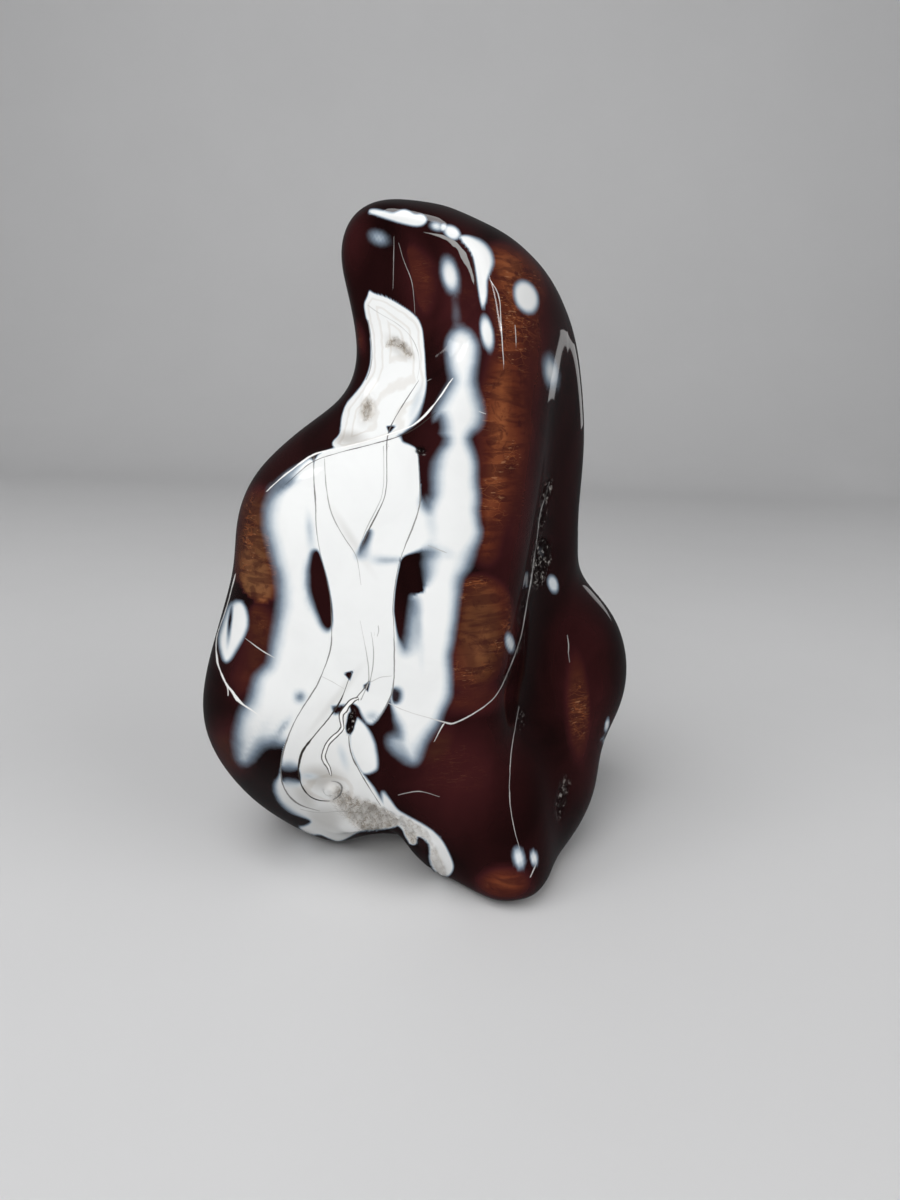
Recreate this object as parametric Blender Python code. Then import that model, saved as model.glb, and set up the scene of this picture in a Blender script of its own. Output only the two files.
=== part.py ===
"""A polished free-form carnelian: one solid stone that stands on its ground foot.

+X runs to the right of the stone's show face, +Y away from it and +Z up. The driving
dimensions are in millimetres, on axes that stand at the middle of the belly. The finished
stone is moved so that the middle of its bounding box lies over the origin, with the foot
on Z = 0, and is scaled to metres.

The form is cut in the order a lapidary would cut it. Two outlines, one seen from the front
and one from the side, are worked through the rough block and rounded into each other. The
flute and the flat cuts are ground next, the lumps of the rough are left standing, and last
come the scoop under the head, the small hollows and the foot.
"""

import bmesh
import bpy
import numpy as np

MM = 0.001
NAME = "stone"

# The front view, as points of the stone's edge (x, z), clockwise from the left foot.
FRONT_OUTLINE = (
    (-37, -10), (-49, 0.5), (-60, 11.5), (-66.5, 26), (-69, 42), (-67.5, 57),
    (-62.5, 74), (-58.5, 88), (-57, 103), (-52, 114), (-41, 124.5), (-29.5, 133.5),
    (-26, 143), (-28, 156), (-31.5, 169), (-29.5, 180), (-20.5, 186), (-6, 185),
    (4, 180.5), (16.3, 173), (29, 163), (36.7, 150), (39, 128), (41.5, 90),
    (42, 50), (40, 10), (35, -10), (0, -16),
)
# The side view, as points of the edge (y, z), from the front of the foot upwards.
SIDE_OUTLINE = (
    (-38, -10), (-43.5, 18), (-47, 50), (-47, 85), (-43.5, 120), (-40.5, 150),
    (-36, 172), (-22, 188), (-4, 194), (13, 187), (24, 167), (29, 140),
    (35, 112), (42, 80), (44, 48), (38, 15), (30, -10), (-5, -18),
)
CURVE_STEPS = 6  # straight steps between two points of an outline
EDGE_ROUND = 27.0  # how far the two outlines run into each other
CROWN = 0.13  # how much thinner the stone is CROWN_REACH to each side of its middle
CROWN_MIDDLE = -12.0
CROWN_REACH = 50.0

# The flute that runs down the flank: its two ends, radius and rounding.
FLUTE = ((55.0, -10.0, 135.0), (42.0, -38.0, 58.0), 23.0, 8.0)

# Flat cuts: a point on the cut, the way it faces, and the rounding of its edge.
FLANK_CUT = ((21.5, -41.0, 0.0), (0.876, -0.478, 0.05), 16.0)
BACK_CUT = ((-40.0, 30.0, 60.0), (-0.62, 0.76, 0.12), 26.0)
CHIN_CUT = ((-36.0, -13.0, 0.0), (-0.33, -0.73, -0.60), 10.0)
FOOT_CUT = ((0.0, 0.0, 0.0), (0.0, 0.0, -1.0), 4.0)
FOOT_FLAT = 0.08  # what stands less than this above the foot is ground level with it

# The lumps left standing: centre, half-sizes and the blend into the rest of the stone.
TOE = ((19.0, -14.0, 6.0), (14.5, 32.5, 38.0), 9.0)
HEEL = ((27.0, 1.0, 24.0), (21.0, 25.0, 28.0), 9.0)
REAR_LOBE = ((32.0, 18.0, 49.0), (26.0, 30.0, 30.5), 8.0)
BACK_LUMP = ((-24.0, 22.0, 44.0), (34.0, 26.0, 33.0), 16.0)
NAPE_LUMP = ((8.0, 12.0, 124.0), (26.0, 22.0, 34.0), 12.0)

# The scoop under the head: its rim in the front view, then the faces that it leaves, which
# are the head's own and the two that fall from the neck to the belly's crest.
SCOOP_RIM = (
    (-70, 84), (-44, 93), (-24, 102), (-8, 111), (0, 122), (3, 134), (6, 146),
    (8.5, 156), (7.5, 165), (2, 172), (-8, 177.5), (-24, 181), (-40, 181),
    (-62, 170), (-76, 130),
)
HEAD_FACE = ((6.0, -33.5, 155.0), (-0.25, -0.96, 0.12))
NECK_SLOPE = ((-16.0, -43.0, 126.0), (-0.243, -0.514, 0.823))
SHOULDER_SLOPE = ((-36.0, -39.5, 119.0), (-0.54, -0.31, 0.78))
SLOPE_ROUND = 8.0  # where the two slopes meet
SCOOP_FILLET = 14.0  # in the bottom of the scoop
SCOOP_EDGE = 3.0  # along its rim

# The small hollows, given like the lumps: across the back, in the left side, under the
# foot and in the lip over it.
SADDLE = ((0.0, 66.0, 100.0), (48.0, 30.0, 20.0), 12.0)
DENT = ((-80.0, 10.0, 94.0), (22.0, 24.0, 22.0), 12.0)
ARCH = ((-17.0, -24.0, -2.0), (13.5, 16.0, 16.0), 3.0)
BITE = ((-19.0, -41.0, 15.0), (12.0, 12.0, 11.0), 4.0)

# The mesh: a cube of GRID x GRID quads a side, wrapped round the stone and relaxed on it.
GRID = 28
SPINE_LOW = (0.0, 0.0, 45.0)
SPINE_HIGH = (4.0, -2.0, 150.0)
SPINE_SPREAD = 0.75  # how fast the rays' starts climb the spine, the ends taking the rest
RAY_TURN = 1.5  # how strongly the rays from along the spine are turned level
SEARCH_REACH = 140.0
SEARCH_STEPS = 26
RELAX_ROUNDS = 24
RELAX_SHARE = 0.5
SETTLE_ROUNDS = 2
GRADIENT_STEP = 0.02
LEAST_SLOPE = 0.05  # keeps a step short where the field is nearly level
TINY = 1e-9

BASE_COLOUR = (0.16, 0.032, 0.018, 1.0)
POLISH = 0.08


def smooth_max(a, b, blend):
    """The larger of two fields, rounded where they come within blend of each other."""
    share = np.clip(0.5 + 0.5 * (a - b) / blend, 0.0, 1.0)
    return b + (a - b) * share + blend * share * (1.0 - share)


def smooth_min(a, b, blend):
    """The smaller of two fields, rounded in the same way."""
    return -smooth_max(-a, -b, blend)


def closed_curve(points, steps):
    """A smooth closed curve through the points, as short straight steps."""
    knots = np.array(points, float)
    before, after, beyond = (np.roll(knots, shift, axis=0) for shift in (1, -1, -2))
    runs = []
    for t in np.arange(steps) / steps:
        runs.append(
            0.5 * (2 * knots + (after - before) * t
                   + (2 * before - 5 * knots + 4 * after - beyond) * t**2
                   + (3 * knots - before - 3 * after + beyond) * t**3)
        )
    return np.stack(runs, axis=1).reshape(-1, 2)


def outline_distance(curve, u, v):
    """Distance to a closed curve in its own plane, negative inside it."""
    nearest = np.full(u.shape, np.inf)
    inside = np.zeros(u.shape, bool)
    for start, end in zip(curve, np.roll(curve, -1, axis=0)):
        run = end - start
        across, up = u - start[0], v - start[1]
        along = np.clip((across * run[0] + up * run[1]) / (run @ run), 0.0, 1.0)
        gap = (across - along * run[0])**2 + (up - along * run[1])**2
        nearest = np.minimum(nearest, gap)
        if start[1] != end[1]:
            crossing = start[0] + run[0] * (v - start[1]) / run[1]
            inside ^= ((start[1] > v) != (end[1] > v)) & (u < crossing)
    return np.where(inside, -1.0, 1.0) * np.sqrt(nearest)


def flat_cut(points, place, facing):
    """Distance to a plane, positive on the side that is ground away."""
    normal = np.array(facing) / np.linalg.norm(facing)
    return (points - np.array(place)) @ normal


def ellipsoid(points, centre, half_sizes):
    """Distance to an ellipsoid, close to true near its surface."""
    offset = points - np.array(centre)
    sizes = np.array(half_sizes)
    reach = np.linalg.norm(offset / sizes, axis=-1)
    slope = np.linalg.norm(offset / sizes**2, axis=-1)
    return reach * (reach - 1.0) / np.maximum(slope, TINY)


def rod(points, start, end, radius):
    """Distance to a round-ended rod."""
    start, end = np.array(start), np.array(end)
    run = end - start
    along = np.clip((points - start) @ run / (run @ run), 0.0, 1.0)
    return np.linalg.norm(points - start - along[:, None] * run, axis=-1) - radius


def scoop(points, rim):
    """The hollow under the head: negative where it is ground away."""
    in_view = outline_distance(rim, points[:, 0], points[:, 2])
    before_face = -flat_cut(points, *HEAD_FACE)
    over_slopes = -smooth_max(
        flat_cut(points, *NECK_SLOPE), flat_cut(points, *SHOULDER_SLOPE), SLOPE_ROUND
    )
    hollow = smooth_max(in_view, before_face, SCOOP_FILLET)
    return smooth_max(hollow, over_slopes, SCOOP_FILLET)


def stone_field(points, front, side, rim):
    """The stone as one field in millimetres: negative inside, zero on its surface."""
    x, y, z = points.T
    crowned = y * (1.0 + CROWN * ((x - CROWN_MIDDLE) / CROWN_REACH)**2)
    field = smooth_max(
        outline_distance(front, x, z), outline_distance(side, crowned, z), EDGE_ROUND
    )
    start, end, radius, blend = FLUTE
    field = smooth_max(field, -rod(points, start, end, radius), blend)
    for place, facing, blend in (FLANK_CUT, BACK_CUT, CHIN_CUT):
        field = smooth_max(field, flat_cut(points, place, facing), blend)
    for centre, half_sizes, blend in (TOE, HEEL, REAR_LOBE, BACK_LUMP, NAPE_LUMP):
        field = smooth_min(field, ellipsoid(points, centre, half_sizes), blend)
    field = smooth_max(field, -scoop(points, rim), SCOOP_EDGE)
    for centre, half_sizes, blend in (SADDLE, DENT, ARCH, BITE):
        field = smooth_max(field, -ellipsoid(points, centre, half_sizes), blend)
    place, facing, blend = FOOT_CUT
    return smooth_max(field, flat_cut(points, place, facing), blend)


def gradient(field, points):
    """Slope of the field at each point, by central differences."""
    slopes = []
    for axis in np.eye(3) * GRADIENT_STEP:
        slopes.append((field(points + axis) - field(points - axis)) / (2 * GRADIENT_STEP))
    return np.stack(slopes, axis=-1)


def settle(field, points, rounds):
    """The points, moved along the field's slope onto the surface."""
    for _ in range(rounds):
        slope = gradient(field, points)
        size = np.maximum((slope**2).sum(axis=-1), LEAST_SLOPE)
        points = points - (field(points) / size)[:, None] * slope
    return points


def wrap_round_spine(field, directions):
    """Where a ray from the stone's spine, in each of a ball's directions, meets the surface."""
    low, high = np.array(SPINE_LOW), np.array(SPINE_HIGH)
    share = np.clip(0.5 + SPINE_SPREAD * directions[:, 2], 0.0, 1.0)
    starts = low + share[:, None] * (high - low)
    rays = directions.copy()
    rays[:, 2] *= np.abs(directions[:, 2])**RAY_TURN
    rays /= np.linalg.norm(rays, axis=1)[:, None]
    near, far = np.zeros(len(rays)), np.full(len(rays), SEARCH_REACH)
    for _ in range(SEARCH_STEPS):
        middle = (near + far) / 2
        outside = field(starts + middle[:, None] * rays) > 0
        far = np.where(outside, middle, far)
        near = np.where(outside, near, middle)
    return starts + near[:, None] * rays


def neighbour_table(bm):
    """Index pairs of joined vertices, and each vertex's number of neighbours."""
    pairs = np.array([[v.index for v in edge.verts] for edge in bm.edges])
    return pairs, np.bincount(pairs.ravel(), minlength=len(bm.verts))


def relax(field, points, pairs, counts):
    """Even out the mesh: each vertex drifts to its neighbours' middle and back onto the stone."""
    for _ in range(RELAX_ROUNDS):
        total = np.zeros_like(points)
        np.add.at(total, pairs[:, 0], points[pairs[:, 1]])
        np.add.at(total, pairs[:, 1], points[pairs[:, 0]])
        points = points + RELAX_SHARE * (total / counts[:, None] - points)
        points = settle(field, points, 1)
    return settle(field, points, SETTLE_ROUNDS)


def polished_carnelian():
    """The stone's own material: deep red-brown with a wet polish."""
    material = bpy.data.materials.new("polished_carnelian")
    material.use_nodes = True
    shader = material.node_tree.nodes["Principled BSDF"]
    shader.inputs["Base Color"].default_value = BASE_COLOUR
    shader.inputs["Roughness"].default_value = POLISH
    return material


def make_stone():
    """The stone's mesh, in metres, standing on Z = 0 with its box centred on the origin."""
    curves = [closed_curve(p, CURVE_STEPS) for p in (FRONT_OUTLINE, SIDE_OUTLINE, SCOOP_RIM)]

    def field(points):
        return stone_field(points, *curves)

    bm = bmesh.new()
    bmesh.ops.create_cube(bm, size=2.0)
    bmesh.ops.subdivide_edges(bm, edges=bm.edges[:], cuts=GRID - 1, use_grid_fill=True)
    bm.verts.index_update()
    cube = np.array([vert.co for vert in bm.verts])
    # The tangent spreads the cube's rows evenly over the ball.
    ball = np.tan(cube * np.pi / 4)
    ball /= np.linalg.norm(ball, axis=1)[:, None]
    points = relax(field, wrap_round_spine(field, ball), *neighbour_table(bm))
    low, high = points.min(axis=0), points.max(axis=0)
    points -= ((low[0] + high[0]) / 2, (low[1] + high[1]) / 2, low[2])
    points[points[:, 2] < FOOT_FLAT, 2] = 0.0
    for vert, place in zip(bm.verts, points):
        vert.co = place * MM
    bmesh.ops.recalc_face_normals(bm, faces=bm.faces[:])
    mesh = bpy.data.meshes.new(NAME)
    bm.to_mesh(mesh)
    bm.free()
    mesh.shade_smooth()
    return mesh


def main():
    """Clear the scene and stand the stone in it."""
    for old in list(bpy.data.objects):
        bpy.data.objects.remove(old)
    stone = bpy.data.objects.new(NAME, make_stone())
    stone.data.materials.append(polished_carnelian())
    bpy.context.scene.collection.objects.link(stone)


if __name__ == "__main__":
    main()
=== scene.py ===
"""A free-standing polished carnelian with white chalcedony bands, on a pale studio floor."""

import logging
import math
from dataclasses import dataclass, field
from enum import Enum

import bmesh
import bpy
import numpy as np
from mathutils import Matrix, Vector


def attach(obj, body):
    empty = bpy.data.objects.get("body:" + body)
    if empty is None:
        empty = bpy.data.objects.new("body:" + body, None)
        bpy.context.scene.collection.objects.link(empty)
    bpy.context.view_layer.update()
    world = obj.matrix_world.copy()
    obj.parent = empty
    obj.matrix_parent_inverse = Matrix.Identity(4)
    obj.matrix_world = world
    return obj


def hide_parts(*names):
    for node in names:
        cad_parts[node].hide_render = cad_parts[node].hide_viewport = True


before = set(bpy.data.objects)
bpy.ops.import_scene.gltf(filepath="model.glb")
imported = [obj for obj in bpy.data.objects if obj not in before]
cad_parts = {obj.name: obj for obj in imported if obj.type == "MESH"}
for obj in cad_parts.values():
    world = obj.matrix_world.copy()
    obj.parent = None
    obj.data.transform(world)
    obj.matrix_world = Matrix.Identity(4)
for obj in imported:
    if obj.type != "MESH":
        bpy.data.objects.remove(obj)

log = logging.getLogger("carnelian")

Pair = tuple[float, float]
Point = tuple[float, float, float]
Stop = tuple[float, ...]
Colour = tuple[float, float, float, float]
Socket = bpy.types.NodeSocket

STONE_NODE = "stone"
TO_MM = 1000.0
TINY = 1e-9
CORNER_CUT = 0.25
DEEPEST = 30.0
FARTHEST = 40.0
LINE_MARGIN = 14.0
SOFTER = 1.9
FAR_JOIN = 0.5


def placed(name: str, data: bpy.types.ID) -> bpy.types.Object:
    """Makes an object of some data and links it to the scene.

    Args:
        name: The object's name.
        data: Its mesh, lamp or camera.

    Returns:
        The object.
    """
    made = bpy.data.objects.new(name, data)
    bpy.context.scene.collection.objects.link(made)
    return made


def dimmed(colour: Colour, share: float) -> Colour:
    """Returns a darker tone of a colour."""
    return (*(share * part for part in colour[:3]), 1.0)


@dataclass(frozen=True)
class ShowView:
    """The viewpoint the stone was surveyed from.

    Places are in metres. Survey coordinates are in picture units, with y down.
    """

    wide: float = 900.0
    high: float = 1200.0
    focal: float = 832.0
    pitch: float = math.radians(14.475)
    roll: float = math.radians(1.978)
    place: Point = (0.005323, -0.240601, 0.1372)
    sensor: float = 36.0

    def axes(self) -> tuple[Vector, Vector, Vector]:
        """Returns the right, up and forward directions."""
        forward = Vector((0.0, math.cos(self.pitch), -math.sin(self.pitch)))
        flat = Vector((1.0, 0.0, 0.0))
        rise = flat.cross(forward)
        turn, lift = math.cos(self.roll), math.sin(self.roll)
        return flat * turn + rise * lift, rise * turn - flat * lift, forward

    def survey(self, places: np.ndarray) -> np.ndarray:
        """Finds where places lie in the survey.

        Args:
            places: Places in metres, one in each row.

        Returns:
            Their survey coordinates, one pair in each row.
        """
        right, up, forward = (np.array(axis) for axis in self.axes())
        away = places - np.array(self.place)
        depth = away @ forward
        across = self.wide / 2 + self.focal * (away @ right) / depth
        down = self.high / 2 - self.focal * (away @ up) / depth
        return np.stack([across, down], axis=1)

    def facing(self, places: np.ndarray, normals: np.ndarray) -> np.ndarray:
        """Returns how squarely each place faces the viewpoint, from 1 down to -1."""
        back = np.array(self.place) - places
        back /= np.linalg.norm(back, axis=1)[:, None]
        return np.einsum("ij,ij->i", back, normals)

    def make_camera(self) -> bpy.types.Object:
        """Makes the camera at this viewpoint and gives it to the scene.

        Returns:
            The camera.
        """
        lens = bpy.data.cameras.new("show_camera")
        lens.sensor_width, lens.sensor_fit = self.sensor, "AUTO"
        lens.lens = self.sensor * self.focal / self.high
        lens.clip_start, lens.clip_end = 0.01, 50.0
        camera = placed("show_camera", lens)
        right, up, forward = self.axes()
        turn = Matrix((right, up, -forward)).transposed().to_4x4()
        turn.translation = Vector(self.place)
        camera.matrix_world = turn
        bpy.context.scene.camera = camera
        return camera


def softly(low: float, high: float, value: np.ndarray) -> np.ndarray:
    """Returns value's smooth step from 0 at low to 1 at high."""
    part = np.clip((value - low) / (high - low), 0.0, 1.0)
    return part * part * (3.0 - 2.0 * part)


def filled(stops: tuple[Stop, ...]) -> np.ndarray:
    """Fills in the third numbers that a traced line leaves out because they repeat.

    Args:
        stops: The stops. One with two numbers takes the third of the stop before it.

    Returns:
        The stops with three numbers each, one in each row.
    """
    rows: list[Stop] = []
    for stop in stops:
        rows.append(stop if len(stop) == 3 else stop + rows[-1][2:])
    return np.array(rows, float)


def drawn(line: tuple[Pair, ...], sizes: float | tuple[float, ...]) -> tuple[Stop, ...]:
    """Gives the points of a shared line their blurs or widths.

    Args:
        line: The points.
        sizes: One blur or width for all of them, or one for each.

    Returns:
        The stops.
    """
    each = sizes if isinstance(sizes, tuple) else (sizes,) * len(line)
    return tuple((*point, size) for point, size in zip(line, each, strict=True))


def eased(stops: tuple[Stop, ...], closed: bool, rounds: int = 2) -> np.ndarray:
    """Rounds a traced line by cutting its corners.

    Args:
        stops: The traced points.
        closed: Whether the last joins the first.
        rounds: How often each corner is cut.

    Returns:
        The rounded line's points, one in each row.
    """
    line = filled(stops)
    first, last = line[0], line[-1]
    for _ in range(rounds):
        after = np.roll(line, -1, axis=0)
        if not closed:
            line, after = line[:-1], after[:-1]
        step = CORNER_CUT * (after - line)
        cut = np.stack([line + step, after - step], axis=1).reshape(-1, 3)
        if not closed:
            cut[0], cut[-1] = first, last
        line = cut
    return line


def close_to(line: np.ndarray, at: np.ndarray, margin: float) -> np.ndarray:
    """Returns which places lie in the box round a line, widened by a margin."""
    low, high = line[:, :2].min(axis=0) - margin, line[:, :2].max(axis=0) + margin
    return np.all((at > low) & (at < high), axis=1)


def project(away: np.ndarray, run: np.ndarray) -> tuple[np.ndarray, np.ndarray, np.ndarray]:
    """Measures places against one straight stretch of a line.

    Args:
        away: Places, seen from the stretch's start.
        run: The way from its start to its end.

    Returns:
        To which side each place lies, how far along as a share of the stretch, and how far from it.
    """
    side = run[0] * away[:, 1] - run[1] * away[:, 0]
    along = away @ run / max(run @ run, TINY)
    gap = np.linalg.norm(away - np.clip(along, 0.0, 1.0)[:, None] * run, axis=1)
    return side, along, gap


@dataclass(frozen=True)
class Patch:
    """A closed marking in survey coordinates.

    Each corner is (x, y, blur), where blur is how far the edge fades, or (x, y) where the blur
    stays. The patch never counts as deeper than peak blurs, so a low peak makes a faint one. Only a
    patch with more than four corners is rounded.
    """

    name: str
    corners: tuple[Stop, ...]
    peak: float = DEEPEST
    share: float = 1.0

    def depth(self, at: np.ndarray) -> np.ndarray:
        """Measures how deep places lie in the patch, in blurs.

        Args:
            at: Survey coordinates, one pair in each row.

        Returns:
            Depth over blur, over 0 inside and under 0 outside.
        """
        ring = eased(self.corners, True, 2 if len(self.corners) > 4 else 0)
        depth = np.full(len(at), -DEEPEST)
        close = close_to(ring, at, 4.0 * ring[:, 2].max() + 6.0)
        depth[close] = self.measure(ring, at[close])
        return np.minimum(depth, self.peak)

    def measure(self, ring: np.ndarray, at: np.ndarray) -> np.ndarray:
        """Measures places against a rounded outline.

        Args:
            ring: The outline's points.
            at: Survey coordinates near it.

        Returns:
            Depth over blur.
        """
        ends = np.roll(ring, -1, axis=0)
        turning = np.sign(np.sum(ring[:, 0] * ends[:, 1] - ends[:, 0] * ring[:, 1]))
        inner, outer = np.full(len(at), np.inf), np.full(len(at), np.inf)
        inside = np.zeros(len(at), bool)
        for start, end in zip(ring, ends):
            run, away = (end - start)[:2], at - start[:2]
            side, along, gap = project(away, run)
            blur = start[2] + np.clip(along, 0.0, 1.0) * (end[2] - start[2])
            depth = gap / (blur * (1.0 + (SOFTER - 1.0) * softly(2.0, 4.0, blur)))
            inner = np.minimum(inner, depth)
            outer = np.where(turning * side < 0, np.minimum(outer, depth), outer)
            crosses = (start[1] > at[:, 1]) != (end[1] > at[:, 1])
            rise = run[1] if abs(run[1]) > TINY else TINY
            inside ^= crosses & (away[:, 0] < away[:, 1] / rise * run[0])
        return np.where(inside, inner, -np.where(np.isinf(outer), inner, outer))


@dataclass(frozen=True)
class Spot:
    """A round or long spot in survey coordinates, turned by an angle in degrees."""

    name: str
    x: float
    y: float
    half_long: float
    half_broad: float
    turn: float
    blur: float
    peak: float = DEEPEST
    share: float = 1.0

    def reach(self, at: np.ndarray) -> np.ndarray:
        """Returns how far out places lie, from 0 at the middle to 1 at the edge and on."""
        angle = math.radians(self.turn)
        away = at - np.array([self.x, self.y])
        along = away[:, 0] * math.cos(angle) + away[:, 1] * math.sin(angle)
        side = away[:, 1] * math.cos(angle) - away[:, 0] * math.sin(angle)
        return np.hypot(along / self.half_long, side / self.half_broad)

    def depth(self, at: np.ndarray) -> np.ndarray:
        """Returns how deep places lie in the spot, in blurs."""
        blurs = min(self.half_long, self.half_broad) / self.blur
        return np.minimum((1.0 - self.reach(at)) * blurs, self.peak)

    def swell(self, at: np.ndarray) -> np.ndarray:
        """Returns the spot's share at its middle, fading softly to nothing."""
        return self.share * np.exp(-self.reach(at) ** 2)


@dataclass(frozen=True)
class Trail:
    """An open line in survey coordinates.

    Each stop is (x, y, half width), or (x, y) where the width stays. A line's tone is 0 for a dark
    one and 1 for a light one. A ridge's tone is its height in millimetres, and its widths are
    shares of that height.
    """

    name: str
    stops: tuple[Stop, ...]
    tone: float = 0.0

    def near(self, at: np.ndarray) -> tuple[np.ndarray, np.ndarray]:
        """Measures places against the line.

        Args:
            at: Survey coordinates, one pair in each row.

        Returns:
            The distance, over 0 on one side and under 0 on the other, and the half width there,
            which runs down past the ends.
        """
        line = eased(self.stops, False)
        signed, width = np.full(len(at), FARTHEST), np.full(len(at), -1.0)
        close = close_to(line, at, LINE_MARGIN)
        signed[close], width[close] = self.measure(line, at[close])
        return signed, width

    def measure(self, line: np.ndarray, at: np.ndarray) -> tuple[np.ndarray, np.ndarray]:
        """Measures places near the rounded line.

        Args:
            line: The line's points.
            at: Survey coordinates near it.

        Returns:
            Signed distance and half width.
        """
        nearest = np.full(len(at), np.inf)
        signed, width = np.zeros(len(at)), np.full(len(at), -1.0)
        last = len(line) - 2
        for place, (start, end) in enumerate(zip(line, line[1:])):
            run = (end - start)[:2]
            side, along, gap = project(at - start[:2], run)
            past = np.zeros(len(at))
            if place == 0:
                past += np.maximum(-along, 0.0) * np.hypot(*run)
            if place == last:
                past += np.maximum(along - 1.0, 0.0) * np.hypot(*run)
            there = start[2] + np.clip(along, 0.0, 1.0) * (end[2] - start[2]) - past
            closer = gap < nearest
            nearest[closer] = gap[closer]
            signed[closer] = (gap * np.sign(side))[closer]
            width[closer] = there[closer]
        return signed, width


# Lines that more than one marking follows: the middle band's sides, and the crack in the hook.
LEFT_SEAM = (
    (314, 485), (315.5, 500), (316, 530), (320.5, 555), (324, 567), (329, 590), (331, 600),
    (332, 640), (330, 652), (326, 664), (318, 684), (313, 692), (299, 713), (290, 731), (284, 748),
    (282, 757))
RIGHT_SEAM = (
    (418.5, 460), (420, 490), (420.5, 503), (415, 522), (407, 541), (400, 560), (398, 568),
    (394, 590), (392.5, 610), (394, 625), (394.5, 670), (393, 690), (390, 698))
CHAIN = (
    (358.5, 698), (354, 699.5), (351, 702), (347, 706), (345, 710), (341, 714), (341, 719),
    (342, 724), (343, 728), (339, 733), (334, 737), (328, 743), (325, 750), (323, 757), (325, 762),
    (329, 767), (331, 775.5))

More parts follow.
